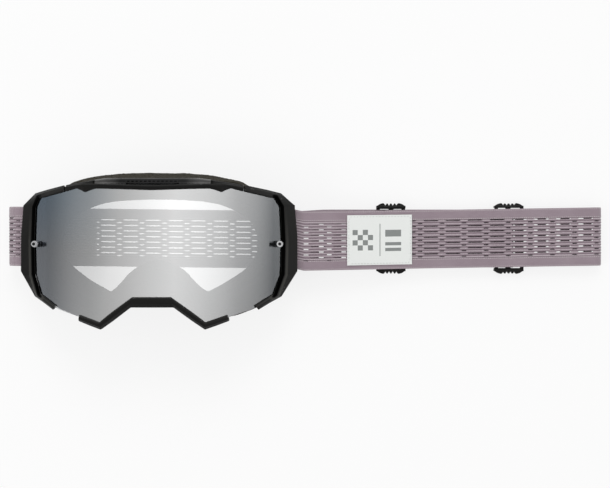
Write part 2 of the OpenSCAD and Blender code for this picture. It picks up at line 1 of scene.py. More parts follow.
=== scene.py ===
"""Motocross goggles lying lens up with their strap laid out flat, dressed around the pack."""
import math

import bmesh
import bpy
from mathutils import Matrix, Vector, noise as ripple


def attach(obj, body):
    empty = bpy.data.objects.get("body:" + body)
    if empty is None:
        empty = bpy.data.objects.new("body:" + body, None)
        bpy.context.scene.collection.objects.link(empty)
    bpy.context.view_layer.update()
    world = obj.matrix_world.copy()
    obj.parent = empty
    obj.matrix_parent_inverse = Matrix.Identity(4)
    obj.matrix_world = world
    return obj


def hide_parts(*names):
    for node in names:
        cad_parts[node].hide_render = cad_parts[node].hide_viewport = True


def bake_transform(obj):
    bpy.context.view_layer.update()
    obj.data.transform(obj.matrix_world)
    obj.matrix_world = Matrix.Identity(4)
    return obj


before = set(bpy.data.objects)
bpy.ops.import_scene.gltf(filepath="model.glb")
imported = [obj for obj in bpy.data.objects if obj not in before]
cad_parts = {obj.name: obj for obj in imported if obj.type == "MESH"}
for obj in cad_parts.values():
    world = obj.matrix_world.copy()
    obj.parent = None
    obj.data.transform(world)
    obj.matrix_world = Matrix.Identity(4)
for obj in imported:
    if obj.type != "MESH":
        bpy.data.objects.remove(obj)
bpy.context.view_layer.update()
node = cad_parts

# The table, the light and the camera. The goggles lie on a white table and are seen
# from straight above, 83 cm up, a little to the right of the lens.
scene = bpy.context.scene
scene.view_settings.view_transform = "Standard"
MM = 0.001
camera_place = Vector((98.0, -3.8, 828.0)) * MM
photo_width = 610
lens_in_pixels = 1192
sensor_width = 36
camera = bpy.data.cameras.new("camera")
camera.sensor_width = sensor_width
camera.lens = lens_in_pixels * sensor_width / photo_width
camera.clip_start = 0.01
camera_object = bpy.data.objects.new("camera", camera)
camera_object.location = camera_place
scene.collection.objects.link(camera_object)
scene.camera = camera_object


class Wire:
    """A shader socket that takes part in sums, and starts other nodes in its tree."""

    def __init__(self, tree, socket):
        self.tree = tree
        self.socket = socket

    def node(self, kind, settings=None, inputs=None, output=0):
        made = self.tree.nodes.new(kind)
        settings = dict(settings or {})
        stops = settings.pop("stops", ())
        for name, value in settings.items():
            setattr(made, name, value)
        for number, (place, colour) in enumerate(stops):
            ramp = made.color_ramp.elements
            stop = ramp[number] if number < len(ramp) else ramp.new(place)
            stop.position = place
            stop.color = (*colour, 1)
        for name, value in (inputs or {}).items():
            if isinstance(value, Wire):
                self.tree.links.new(value.socket, made.inputs[name])
            else:
                made.inputs[name].default_value = value
        return Wire(self.tree, made.outputs[output])

    def maths(self, operation, *values):
        inputs = dict(enumerate((self, *values)))
        return self.node("ShaderNodeMath", {"operation": operation}, inputs)

    def __add__(self, other):
        return self.maths("ADD", other)

    def __sub__(self, other):
        return self.maths("SUBTRACT", other)

    def __rsub__(self, other):
        return self.maths("MULTIPLY_ADD", -1.0, other)

    def __mul__(self, other):
        return self.maths("MULTIPLY", other)

    def __truediv__(self, other):
        return self.maths("DIVIDE", other)

    def __gt__(self, other):
        return self.maths("GREATER_THAN", other)

    def __lt__(self, other):
        return self.maths("LESS_THAN", other)

    __radd__ = __add__
    __rmul__ = __mul__

    def between(self, low, high):
        return (self > low) * (self < high)

    def near(self, centre, half):
        return self.maths("COMPARE", centre, half)

    def remap(self, low, high, to_low=0.0, to_high=1.0):
        names = {"From Min": low, "From Max": high, "To Min": to_low, "To Max": to_high}
        return self.node("ShaderNodeMapRange", None, {"Value": self, **names})

    def axis(self, number):
        return self.node("ShaderNodeSeparateXYZ", None, {"Vector": self}, output=number)

    def waves(self, pitch, shift=0.0):
        return (self * (2 * math.pi / pitch) + shift).maths("SINE")

    def ramp(self, *stops):
        return self.node("ShaderNodeValToRGB", {"stops": stops}, {"Fac": self})


def first_wire(tree, coordinates):
    return Wire(tree, tree.nodes.new("ShaderNodeTexCoord").outputs[coordinates])


def new_material(name):
    """A material with only its surface shader, that shader, and a wire of the place."""
    material = bpy.data.materials.new(name)
    material.use_nodes = True
    tree = material.node_tree
    shader = tree.nodes["Principled BSDF"]
    return material, shader, first_wire(tree, "Object")


def feed(shader, socket, wire):
    wire.tree.links.new(wire.socket, shader.inputs[socket])


def rgba(colour):
    return colour if isinstance(colour, Wire) else (*colour, 1)


def add_piece(name, verts, faces, material, body, smooth=True):
    mesh = bpy.data.meshes.new(name)
    mesh.from_pydata([tuple(v) for v in verts], [], faces)
    mesh.materials.append(material)
    mesh.polygons.foreach_set("use_smooth", [smooth] * len(mesh.polygons))
    mesh.set_sharp_from_angle(angle=math.radians(55))
    piece = bpy.data.objects.new(name, mesh)
    scene.collection.objects.link(piece)
    if body:
        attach(piece, body)
    return piece


# The floor is a plain white sheet, bright to the camera, brighter still behind the dim
# lens, and a little darker where the goggles keep the light off it.
floor_half = 1.6
seen_share = 0.8
lit, lit_behind_lens = 1.0, 1.95
floor_material, shader, place = new_material("floor_white")
shader.inputs["Base Color"].default_value = rgba((0.86, 0.86, 0.86))
shader.inputs["Roughness"].default_value = 0.9
seen_directly = place.node("ShaderNodeLightPath", output="Is Camera Ray")
passed_on = place.node("ShaderNodeLightPath", output="Is Transmission Ray")
behind_lens = place.node("ShaderNodeLightPath", output="Transparent Depth") > 0.5
glow = place.node("ShaderNodeEmission", None, {"Strength": lit})
strong_glow = place.node("ShaderNodeEmission", None, {"Strength": lit_behind_lens})
either = place.node("ShaderNodeMixShader", None, {"Fac": behind_lens, 1: glow, 2: strong_glow})
seen = (seen_directly + passed_on) * seen_share
sheet = Wire(place.tree, shader.outputs[0])
mixed = place.node("ShaderNodeMixShader", None, {"Fac": seen, 1: sheet, 2: either})
feed(place.tree.nodes["Material Output"], "Surface", mixed)
corners = [(x * floor_half, y * floor_half, 0) for x, y in ((-1, -1), (1, -1), (1, 1), (-1, 1))]
floor = add_piece("floor", corners, [(0, 1, 2, 3)], floor_material, None, smooth=False)

# The sky is a bright tent, even for what is matt. What shines sees its brighter low rim
# and a bright panel at the brow's side, and finds the right side lighter than the left.


def blend_colours(factor, first, second):
    inputs = {"Factor": factor, 6: rgba(first), 7: rgba(second)}
    return factor.node("ShaderNodeMix", {"data_type": "RGBA"}, inputs, output=2)


def scaled(colour, factor):
    inputs = {0: colour, "Scale": factor}
    return colour.node("ShaderNodeVectorMath", {"operation": "SCALE"}, inputs)


world = bpy.data.worlds.new("studio")
scene.world = world
world.use_nodes = True
sky_tree = world.node_tree
direction = first_wire(sky_tree, "Generated")
in_shine = direction.node("ShaderNodeLightPath", output="Is Glossy Ray")
right_side, brow_side, height = (direction.axis(number) for number in range(3))
tent = blend_colours(height.remap(0, 0.6), (1.4, 1.4, 1.4), (0.84, 0.84, 0.84))
tent = scaled(tent, right_side.remap(-0.7, 0.7, 0.55, 1.35))
tent = blend_colours(brow_side.remap(-0.1, -0.7), tent, (0.5, 0.5, 0.5))
tent = blend_colours(brow_side.remap(0.15, 0.6), tent, (1.6, 1.6, 1.6))
sky_colour = blend_colours(in_shine, (0.74, 0.74, 0.74), tent)
feed(sky_tree.nodes["Background"], "Color", sky_colour)


def soft_lamp(name, place, size, power):
    lamp = bpy.data.lights.new(name, "AREA")
    lamp.shape = "DISK"
    lamp.size = size
    lamp.energy = power
    lamp_object = bpy.data.objects.new(name, lamp)
    lamp_object.location = place
    lamp_object.rotation_euler = (-Vector(place)).to_track_quat("-Z", "Y").to_euler()
    lamp_object.visible_glossy = False
    scene.collection.objects.link(lamp_object)


soft_lamp("brow_light", (0.1, 1.1, 1.3), 0.8, 7)
soft_lamp("side_light", (-1.2, -0.5, 1.2), 0.7, 5)

# Inner frame: soft moulded rubbery plastic, dead matt, with a fine spark-eroded grain.
# It is one moulding, so its edges are a little rounded.


def noise(place, scale, detail=3.0):
    inputs = {"Vector": place, "Scale": scale, "Detail": detail}
    return place.node("ShaderNodeTexNoise", None, inputs)


def bump(shader, height, depth):
    inputs = {"Height": height, "Distance": depth}
    feed(shader, "Normal", height.node("ShaderNodeBump", None, inputs))


soft_frame, shader, place = new_material("soft_frame")
grain = noise(place, 2600, 2)
tone = noise(place, 40, 4)
feed(shader, "Base Color", blend_colours(tone, (0.012, 0.012, 0.013), (0.03, 0.03, 0.031)))
feed(shader, "Roughness", tone.remap(0, 1, 0.62, 0.78))
bump(shader, grain, 0.00008)


def rounded_copy(name, material, voxel, rounds, body="goggles"):
    """A copy of a CAD node with softened edges, which stands for the node."""
    copy = bpy.data.objects.new(name + "_moulded", node[name].data.copy())
    scene.collection.objects.link(copy)
    remesh = copy.modifiers.new("remesh", "REMESH")
    remesh.mode = "VOXEL"
    remesh.voxel_size = voxel * MM
    remesh.use_smooth_shade = True
    soften = copy.modifiers.new("soften", "SMOOTH")
    soften.iterations = rounds
    bpy.context.view_layer.update()
    moulded = copy.evaluated_get(bpy.context.evaluated_depsgraph_get())
    mesh = bpy.data.meshes.new_from_object(moulded)
    copy.modifiers.clear()
    copy.data = mesh
    copy.data.materials.clear()
    copy.data.materials.append(material)
    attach(copy, body)
    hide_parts(name)
    return copy


rounded_copy("inner_frame", soft_frame, 0.65, 3)

# Lens: one sheet of clear polycarbonate with a silver mirror coating, so thin that the
# white table still shows where nothing dark stands behind it. Its shading is partly real
# reflection and mostly painted reflection in its colour: light in the middle and slate at
# both sides, with a slight blue at the left, towards the brow, and a painted falloff towards
# one corner.


def dress(name, material):
    """A CAD node keeps its mesh and takes this material."""
    data = node[name].data
    data.materials.clear()
    data.materials.append(material)


# Painted reflection: the lens's colour runs from bright in the middle to slate at both sides.
left_dark_reflection, bright_reflection, right_dark_reflection = (0.16, 0.17, 0.185), (0.99, 0.995, 0.995), (0.115, 0.12, 0.125)
left_dim, left_bright = -78, -21
right_bright, right_dim = 14, 77
seen_through, lit_through = 0.22, 0.07
mirror_lens, shader, place = new_material("mirror_lens")
lens_x, lens_y = place.axis(0) * 1000, place.axis(1) * 1000
from_left = lens_x.remap(left_dim, left_bright)
from_left = from_left * from_left * (3 - from_left * 2)
painted_reflection = blend_colours(from_left, left_dark_reflection, bright_reflection)
painted_reflection = blend_colours(lens_x.remap(right_bright, right_dim), painted_reflection, right_dark_reflection)
blue_corner = lens_x.remap(-20, -75) * lens_y.remap(-8, 26)
cool = blend_colours(blue_corner, (1, 1, 1), (0.84, 1.0, 1.13))
painted_reflection = painted_reflection.node("ShaderNodeVectorMath", {"operation": "MULTIPLY"}, {0: painted_reflection, 1: cool})
# Painted falloff: the reflection painted into the colour dims a little towards one corner.
painted_falloff = lens_x * lens_y * 6.5e-5 + 1
feed(shader, "Base Color", scaled(painted_reflection, painted_falloff))
shader.inputs["Metallic"].default_value = 1.0
smear = noise(place, 60, 4)
feed(shader, "Roughness", smear.remap(0.3, 0.7, 0.11, 0.16))
inner_side = place.node("ShaderNodeNewGeometry", output="Backfacing")
looked_at = place.node("ShaderNodeLightPath", output="Is Camera Ray")
feed(shader, "Alpha", (1 - inner_side) * looked_at.remap(0, 1, 1 - lit_through, 1 - seen_through))
dress("lens", mirror_lens)

# Gasket: a thin strip of closed black foam, die-cut and glued between the lens and the
# frame's rim to keep dust out.
gasket_foam, shader, place = new_material("gasket_foam")
cells = noise(place, 1800, 3)
feed(shader, "Base Color", blend_colours(cells, (0.01, 0.01, 0.01), (0.05, 0.05, 0.05)))
shader.inputs["Roughness"].default_value = 0.9
bump(shader, cells, 0.0002)
dress("lens_gasket", gasket_foam)

# Outriggers, top bar and nose bar: hard moulded plastic, satin black with a fine grain.
# Beside the lens runs a groove painted black as shade, and the bevel outside it has a painted
# highlight, stronger towards the bottom. Convex edges have a painted highlight too. The
# scooped recess in the top bar is polished and coated, and its two wings have the most gloss
# and a painted highlight.


def marked(place, name, output="Fac"):
    """The number that a mesh's points are marked with, or the vector."""
    return place.node("ShaderNodeAttribute", {"attribute_name": name}, output=output)


hard_black, shader, place = new_material("hard_black")
grain = noise(place, 3200, 2)
tone = noise(place, 55, 5)
painted_light_and_gloss = marked(place, "painted_light_and_gloss")
satin = blend_colours(tone, (0.002, 0.002, 0.0018), (0.008, 0.0077, 0.007))
wings = place.axis(0).maths("ABSOLUTE").remap(0.021, 0.031)
gloss = painted_light_and_gloss.remap(0.65, 0.95)
feed(shader, "Coat Weight", gloss * (wings * 0.8 + 0.2))
shader.inputs["Coat Roughness"].default_value = 0.12
bevel_highlight = painted_light_and_gloss.remap(0, -0.4)
painted_light_and_gloss = painted_light_and_gloss.remap(0, 0.6)
# In the groove beside the lens a black metallic base reflects nothing: painted shade. The scoop
# keeps its real glossy coat.
feed(shader, "Metallic", painted_light_and_gloss * (1 - gloss))
# Painted highlight: convex edges are painted lighter.
edge = place.node("ShaderNodeNewGeometry", output="Pointiness").remap(0.53, 0.62)
satin = blend_colours(edge, satin, (0.06, 0.059, 0.057))
# Painted highlight: the bevel outside the groove is painted lighter.
satin = blend_colours(bevel_highlight, satin, (0.032, 0.031, 0.028))
# Painted shade: the groove beside the lens is painted black.
satin = blend_colours(painted_light_and_gloss, satin, (0.001, 0.001, 0.001))
# Painted highlight: the scoop's wings are painted lighter, beside their real gloss coat.
feed(shader, "Base Color", blend_colours(gloss * wings, satin, (0.035, 0.034, 0.033)))
shader.inputs["Specular IOR Level"].default_value = 0.18
feed(shader, "Roughness", tone.remap(0.3, 0.7, 0.4, 0.5) * (1 - painted_light_and_gloss) + painted_light_and_gloss * 0.16)
bump(shader, grain * (1 - painted_light_and_gloss), 0.00005)
lens_edge = [(0, 32), (20.1, 32.6), (32.7, 33), (50.3, 33.4), (79, 27.5), (82.8, 21), (83.8, -2),
             (83.2, -24), (78.3, -37.4), (64, -46.3), (48, -51.2), (34, -55.6), (12.8, -39.2),
             (0, -39.2)]
lens_radius, lens_axis = 114, -47
groove_end, bevel_start, bevel_end = 1.4, 1.6, 3.5
scoop_half, scoop_start, scoop_rim = 39.5, 33.6, 1.5


def outside_lens(x, y):
    """Distance in millimetres from a place on the right half to the lens's outline."""
    best = 1e9
    for (x0, y0), (x1, y1) in zip(lens_edge, lens_edge[1:]):
        dx, dy = x1 - x0, y1 - y0
        s = min(max(((x - x0) * dx + (y - y0) * dy) / (dx * dx + dy * dy), 0), 1)
        best = min(best, math.hypot(x - x0 - dx * s, y - y0 - dy * s))
    return best


def ease(s):
    s = min(max(s, 0), 1)
    return s * s * (3 - 2 * s)


def light_and_gloss_marks(piece, shine):
    """Marks each point of a piece from -0.4, painted bevel highlight, over 0, satin, to 1, painted
    groove shade or polished scoop.
    """
    marks = [shine(*(vertex.co / MM)) for vertex in piece.data.vertices]
    piece.data.attributes.new("painted_light_and_gloss", "FLOAT", "POINT").data.foreach_set("value", marks)


def groove_shade_and_highlight(x, y, z):
    out = outside_lens(abs(x), y) + 3 * ease((78 - abs(x)) / 4)
    # Painted shade: the groove along the lens is marked to be painted black.
    groove_shade = ease((groove_end - out) / 0.4)
    # The bevel's painted highlight, stronger towards the bottom.
    bevel_highlight = ease((out - bevel_start) / 0.4) * ease((bevel_end - out) / 0.5) * ease((24 - y) / 40)
    return 0.6 * groove_shade - 0.4 * bevel_highlight


def scoop_shine(x, y, z):
    above = z - (math.sqrt(lens_radius ** 2 - x * x) + lens_axis)
    inside = ease((scoop_half - abs(x)) / 3) * ease((y - scoop_start) / 0.3)
    return ease((scoop_rim - above) / 0.8) * inside


for name in ("outrigger_right", "outrigger_left", "top_bar", "nose_bar"):
    bar = rounded_copy(name, hard_black, 0.35, 4)
    if name != "nose_bar":
        light_and_gloss_marks(bar, scoop_shine if name == "top_bar" else groove_shade_and_highlight)

# Recess grille: a plain ribbed insert at the bottom of the top bar's scoop, moulded in
# the same black but with a smoother, glossier face.
gloss_black, shader, place = new_material("gloss_black")
tone = noise(place, 90, 4)
feed(shader, "Base Color", blend_colours(tone, (0.006, 0.006, 0.006), (0.015, 0.015, 0.015)))
feed(shader, "Roughness", tone.remap(0.3, 0.7, 0.15, 0.25))
shader.inputs["Specular IOR Level"].default_value = 0.25
dress("recess_grille", gloss_black)

# Tear-off posts: small turned pins, bright plated, with dark rings down the stem and a
# driver's recess painted dark as shade.
pin_x, pin_y, recess_r, stem_top = 81.3, -3.8, 1.0724, 37
post_metal, shader, place = new_material("post_metal")
turning = noise(place, 900, 3)
off_x = place.axis(0).maths("ABSOLUTE") * 1000 - pin_x
off_y = place.axis(1) * 1000 - pin_y
pin_z = place.axis(2) * 1000
recess_shade = off_x * off_x + off_y * off_y < recess_r ** 2
rings = pin_z.waves(1.3) * (pin_z < stem_top) > 0.3
dark = (recess_shade + rings).maths("MINIMUM", 1.0)
plated = blend_colours(turning, (0.5, 0.5, 0.51), (0.72, 0.72, 0.73))
# The dark colour paints shade into the driver's recess and dark rings on the stem.
feed(shader, "Base Color", blend_colours(dark, plated, (0.035, 0.035, 0.036)))
feed(shader, "Metallic", pin_z.remap(stem_top - 0.5, stem_top + 0.5))
feed(shader, "Roughness", turning.remap(0.3, 0.7, 0.18, 0.3))
for name in ("tearoff_post_right", "tearoff_post_left"):
    dress(name, post_metal)

# Foams: open-cell strips over the vents, which keep dust out, and three layers glued up
# against the face, an open-cell base, a denser middle and a brushed fleece.


def foam_material(name, dark, light, cell_scale, depth, fuzz=0.0):
    material, shader, place = new_material(name)
    cells = place.node("ShaderNodeTexVoronoi", None, {"Vector": place, "Scale": cell_scale})
    patch = noise(place, 120, 4)
    wall = cells.remap(0.1, 0.6)
    feed(shader, "Base Color", blend_colours(wall * 0.6 + patch * 0.4, dark, light))
    shader.inputs["Roughness"].default_value = 0.95
    shader.inputs["Specular IOR Level"].default_value = 0.15
    shader.inputs["Sheen Weight"].default_value = fuzz
    bump(shader, wall + patch, depth)
    return material


vent_foam = foam_material(
    "vent_foam", (0.016, 0.014, 0.0105), (0.058, 0.053, 0.042), 1500, 0.0004)
face_foam = foam_material(
    "face_foam", (0.02, 0.016, 0.013), (0.08, 0.068, 0.056), 1300, 0.0005)
dense_foam = foam_material(
    "dense_foam", (0.012, 0.012, 0.012), (0.04, 0.04, 0.04), 2600, 0.0002)
fleece = foam_material(
    "fleece", (0.01, 0.01, 0.01), (0.035, 0.034, 0.034), 3800, 0.0004, fuzz=0.4)
foam_tuck, foam_loss = 1.5, 0.15
for name, material, slot, voxel, rounds in (
        ("brow_vent_foam", vent_foam, "vent_foam", 0.5, 5),
        ("lower_vent_foams", vent_foam, "vent_foam", 0.5, 5),
        ("face_foam_base", face_foam, "face_foam", 0.9, 6),
        ("face_foam_middle", dense_foam, "dense_foam", 0.8, 5),
        ("face_foam_fleece", fleece, "fleece", 0.8, 5)):
    foam = rounded_copy(name, material, voxel, rounds)
    outward = [vertex.normal.copy() for vertex in foam.data.vertices]
    for vertex, normal in zip(foam.data.vertices, outward):
        place = vertex.co / MM
        swell = ripple.noise(place * 0.12) * 0.35 + ripple.noise(place * 0.6) * 0.1
        if name == "brow_vent_foam":
            vertex.co.y -= foam_tuck * ease((abs(place.x) - 55) / 7) * MM
        vertex.co += normal * (swell - foam_loss) * MM

# Strap: woven elastic, 40 mm wide, with seven rows of long slots and seven of short ones
# between them. Between the rows the weave stands in ribs, and at the selvedges it lies
# flat. A light thread runs along each side of the slots.
strap_half = 20
strap_thick = 0.95
row_step = 3.8
rows_half = 14
slot_half, closed_half = 0.38, 0.36
long_half, short_half = 5.2, 1.75
rib_height, cord_pitch, yarn_pitch = 0.16, 0.55, 0.42
webbing, shader, place = new_material("webbing")
lay = marked(place, "lay", "Vector")
along, over = lay.axis(0) * 1000, lay.axis(1) * 1000
from_middle = over.maths("ABSOLUTE")
fuzz = noise(place, 2600, 3)
cloud = noise(place, 45, 4)
cords = along.waves(cord_pitch, cloud * 6) * 0.5 + 0.5
yarns = over.waves(yarn_pitch) * 0.5 + 0.5
from_row = (over / (row_step / 2)).maths("PINGPONG", 0.5) * 2
inside = from_middle < rows_half - 0.4
# Painted light and shade on the ribs: crests painted lighter, their sides by the slots darker, with
# random tone and yarn texture over it.
crest = from_row * inside + (1 - inside) * 0.55
weave = crest * 0.62 + cords * 0.16 + yarns * 0.06 + fuzz * 0.24 + cloud * 0.2
cloth = weave.ramp((0.25, (0.13, 0.098, 0.115)), (0.56, (0.25, 0.19, 0.222)),
                   (0.75, (0.34, 0.275, 0.31)), (0.95, (0.48, 0.41, 0.445)))
dash = along.waves(1.3) > -0.35
thread_line = from_middle.near(13.7, 0.22) + from_middle.near(12.6, 0.14) * 0.5
beads = along.waves(0.9, cloud * 9) > -0.2
ridge = (from_row > 0.72) * inside
selvedge = from_middle.near(19.25, 0.3)
thread = thread_line * dash * (0.45 + fuzz * 0.7) + ridge * beads * 0.3 + selvedge * dash * 0.4
feed(shader, "Base Color", blend_colours(thread, cloth, (0.62, 0.57, 0.58)))
shader.inputs["Roughness"].default_value = 0.86
shader.inputs["Sheen Weight"].default_value = 0.25
shader.inputs["Sheen Roughness"].default_value = 0.5
bump(shader, cords * 0.5 + yarns * 0.2 + fuzz * 0.5, 0.00016)


def mix(a, b, s):
    return a + (b - a) * s


def table(pairs, x):
    """A value between pairs, and past either end on the same slope."""
    k = 0
    while k < len(pairs) - 2 and x > pairs[k + 1][0]:
        k += 1
    (x0, y0), (x1, y1) = pairs[k], pairs[k + 1]
    return y0 + (y1 - y0) * (x - x0) / (x1 - x0)


def arc(centre, radius, start, end, count):
    turns = [math.radians(start + (end - start) * i / count) for i in range(count + 1)]
    return [(centre[0] + radius * math.cos(a), centre[1] + radius * math.sin(a)) for a in turns]


def trail(tie, *stretches):
    """A strap's middle line in X and Z with the distance along it. The distance is X
    itself at the first point of the stretch that tie names."""
    line, tied = [], 0
    for number, points in enumerate(stretches):
        for k, (x, z) in enumerate(points):
            step = math.hypot(x - line[-1][1], z - line[-1][2]) if line else 0
            if step > 0.01 or not line:
                line.append(((line[-1][0] if line else 0) + step, x, z))
            if number == tie and k == 0:
                tied = x - line[-1][0]
    return [(u + tied, x, z) for u, x, z in line]


def lines_across():
    """Places across the strap: selvedges, both edges of every slot and the ribs' crests."""
    inward = (0, 0.25, 0.8, 2.5, 4.4)
    places = [side * (strap_half - step) for side in (-1, 1) for step in inward]
    places += [-7.5 * row_step / 2, rows_half + 0.2]
    for i in range(-7, 7):
        centre = i * row_step / 2
        places += [centre - slot_half, centre + slot_half, centre + row_step / 4]
    return sorted(places)


def lines_along(line, columns, slotted):
    """Places along the strap: its ends, those of each slot, and the line's own points."""
    back = [(p, u) for u, p in columns]
    wanted = [line[0][0], line[-1][0]]
    first, last = (math.floor(2 * table(columns, u)) for u in slotted)
    kinds = (short_half, (0, 0.85, 1)), (long_half, (0, 0.8, 0.95, 1))
    for i in range(first - 1, last + 3):
        centre = table(back, i / 2)
        half, shares = kinds[i % 2]
        if slotted[0] < centre - half and centre + half < slotted[1]:
            wanted += sorted({centre + half * share * side for share in shares for side in (-1, 1)})
    wanted += [u for u, _, _ in line if all(abs(u - other) > 0.6 for other in wanted)]
    return sorted(wanted)


def on_line(line, u):
    """The place and the upward direction of a strap's middle line at a distance."""
    k = 0
    while k < len(line) - 2 and u > line[k + 1][0]:
        k += 1
    s = (u - line[k][0]) / (line[k + 1][0] - line[k][0])

    def direction(j):
        j0, j1 = max(j - 1, 0), min(j + 1, len(line) - 1)
        return Vector((line[j1][1] - line[j0][1], line[j1][2] - line[j0][2])).normalized()

    d = direction(k).lerp(direction(k + 1), s).normalized()
    x, z = (mix(line[k][n], line[k + 1][n], s) for n in (1, 2))
    return x, z, Vector((-d.y, d.x))


def slot_here(columns, slotted, u, v):
    """Half the slot's opening at this distance along the strap, or 0 where none is cut."""
    p = table(columns, u)
    pitch = table(columns, u + 1) - p
    near_long = math.floor(p) + 0.5, long_half, round(v / row_step), 3
    near_short = round(p), short_half, round(v / row_step - 0.5) + 0.5, 2.5
    for centre, half, row, last_row in (near_long, near_short):
        off = (p - centre) / pitch
        in_row = -3.5 <= row <= last_row and abs(v - row * row_step) < slot_half + 0.01
        in_reach = slotted[0] < u - off - half and u - off + half < slotted[1]
        if abs(off) < half + 0.01 and in_row and in_reach:
            return slot_half * (1 - 0.9 * (off / half) ** 16)
    return 0


def double_sheet(name, count, cells, verts, marks, material, body):
    """A closed mesh of two layers over the given cells of a grid, count places wide. The
    marks give each point its place along and over the flat piece."""
    faces = []
    for i, j in sorted(cells):
        corners = [(i, j), (i + 1, j), (i + 1, j + 1), (i, j + 1)]
        top = [(a * count + b) * 2 for a, b in corners]
        faces += [top, [t + 1 for t in reversed(top)]]
        for k, beside in enumerate(((i, j - 1), (i + 1, j), (i, j + 1), (i - 1, j))):
            if beside not in cells:
                a, b = top[k], top[(k + 1) % 4]
                faces.append([b, a, a + 1, b + 1])
    piece = add_piece(name, verts, faces, material, body)
    lay = piece.data.attributes.new("lay", "FLOAT_VECTOR", "POINT")
    lay.data.foreach_set("vector", marks)
    return piece


def webbing_strip(name, line, columns, slotted, bow, lift, body, slim_from=1000):
    """A strip of the strap: a closed mesh with real slots. By the place in X, bow moves it
    sideways whole and lift moves its slots and ribs between its edges. Past slim_from its
    plain borders are a little narrower, so that it runs free through an adjuster."""
    places, rows = lines_along(line, columns, slotted), lines_across()
    verts, marks = [], []
    for u in places:
        x, z, up = on_line(line, u)
        for v in rows:
            row_centre = round(v / (row_step / 2)) * row_step / 2
            away = v - row_centre
            shown = v
            crest = 0
            if abs(v) < rows_half:
                if abs(abs(away) - slot_half) < 0.01:
                    opening = slot_here(columns, slotted, u, v) or closed_half
                    shown = row_centre + math.copysign(opening, away)
                crest = rib_height * (2 * abs(away) / (row_step / 4) - 1.2)
            edge = max(0, (abs(v) - 19.1) / 0.9)
            slimmer = max(0, abs(v) - rows_half) * 0.08 * ease((u - slim_from) / 10)
            shown += lift(x) * min(1, (strap_half - abs(v)) / 5) - math.copysign(slimmer, v)
            wave = ripple.noise(Vector((x * 0.06, v * 0.08, z * 0.1))) * 0.14
            half = strap_thick / 2 * (1 - 0.7 * edge * edge)
            for side in (1, -1):
                out = side * (half + crest) + wave
                verts.append(Vector((x + up.x * out, shown + bow(x), z + up.y * out)) * MM)
                marks += [u * MM, shown * MM, 0]
    cloth_cells = set()
    for i in range(len(places) - 1):
        for j in range(len(rows) - 1):
            u, v = (places[i] + places[i + 1]) / 2, (rows[j] + rows[j + 1]) / 2
            in_slot_row = rows[j + 1] - rows[j] > 2 * slot_half - 0.01
            if not (in_slot_row and slot_here(columns, slotted, u, v)):
                cloth_cells.add((i, j))
    piece = double_sheet(name, len(rows), cloth_cells, verts, marks, webbing, body)
    work = bmesh.new()
    work.from_mesh(piece.data)
    bmesh.ops.delete(work, geom=[v for v in work.verts if not v.link_faces], context="VERTS")
    bmesh.ops.recalc_face_normals(work, faces=work.faces)
    work.to_mesh(piece.data)
    work.free()
    return piece


# Left half: it starts in a sewn loop at the left outrigger, bends round and runs under the
# goggles, a little askew, and on to the far adjuster, where it ends in a loop. Its columns
# give the distance along it at which a slot of that number stands.
bar_x, bar_z, anchor_r = 89.5, 21.2, 2.2
anchor_top = bar_z + anchor_r
rear_level, left_level = 0.6, 3.4
bend_c, bend_r, band_x0 = (-92.2, 12.0), 11.4, -88
over_label_x, over_label = (-82, -42), 0.7
ramp_x = (88.5, 104)
askew, askew_from, askew_to = 0.0125, 15, 95
straight_x = (92, 114)
end_b, turn_b = 240.5, 1.4


def left_rear(x):
    lifted = over_label * ease((x - over_label_x[0]) / 4) * ease((over_label_x[1] - x) / 4)
    return mix(rear_level, left_level, ease((x - ramp_x[0]) / (ramp_x[1] - ramp_x[0]))) + lifted


def straightened(x):
    return ease((x - straight_x[0]) / (straight_x[1] - straight_x[0]))


def left_bow(x):
    return askew * (askew_from - min(x, askew_to)) * (1 - straightened(x))


def left_lift(x):
    return 1 - 0.8 * straightened(x)


left_line = trail(
    2,
    [(-bar_x - 9, anchor_top - 1.6), (-bar_x - 7, anchor_top - 1.6), (-bar_x - 4, anchor_top - 2.5)]
    + arc((-bar_x, bar_z), anchor_r, -105, 90, 14),
    arc(bend_c, bend_r, 92, 268, 30),
    [(x, left_rear(x)) for x in list(range(band_x0, 112, 3)) + list(range(114, 240, 6))],
    arc((end_b, rear_level + turn_b), turn_b, 90, -90, 12),
    [(232, rear_level), (228.6, rear_level), (224.6, 2.15), (220, 2.15), (216.6, 2.15)])
left_columns = [(-30.6, 0), (47.6, 5), (94.2, 8), (240, 17.4)]
left_slotted = (-131, 214.6)
left_strip = webbing_strip("strap_left_half", left_line, left_columns, left_slotted,
                           left_bow, left_lift, "goggles")
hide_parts("strap_left_bend", "strap_left_band")

# Right half: it starts in a sewn loop at the right outrigger and runs on top to the fold.
# There it turns back underneath, passes both adjusters and ends in a loop round its own.
front_end = 285.3
run_level, run_x, right_level = 9.2, 198, 4.8
bulb_c, bulb_r = (297.5, 4.9), 4.3
bulb_x = 288.4
end_a, turn_a, loop_high = 155.4, 1.45, 7.7


def front_level(x):
    return mix(anchor_top, run_level, ease((x - bar_x) / (run_x - bar_x)))


def front_bow(x):
    return mix(-1.9, 1.4, (x - 94) / 208) + 1.4 * ease((98 - x) / 7)


def row_lift(x):
    return 1.25 * ease((x - 126) / 40)


def rear_bow(x):
    return front_bow(x) * ease((x - 200) / 70)


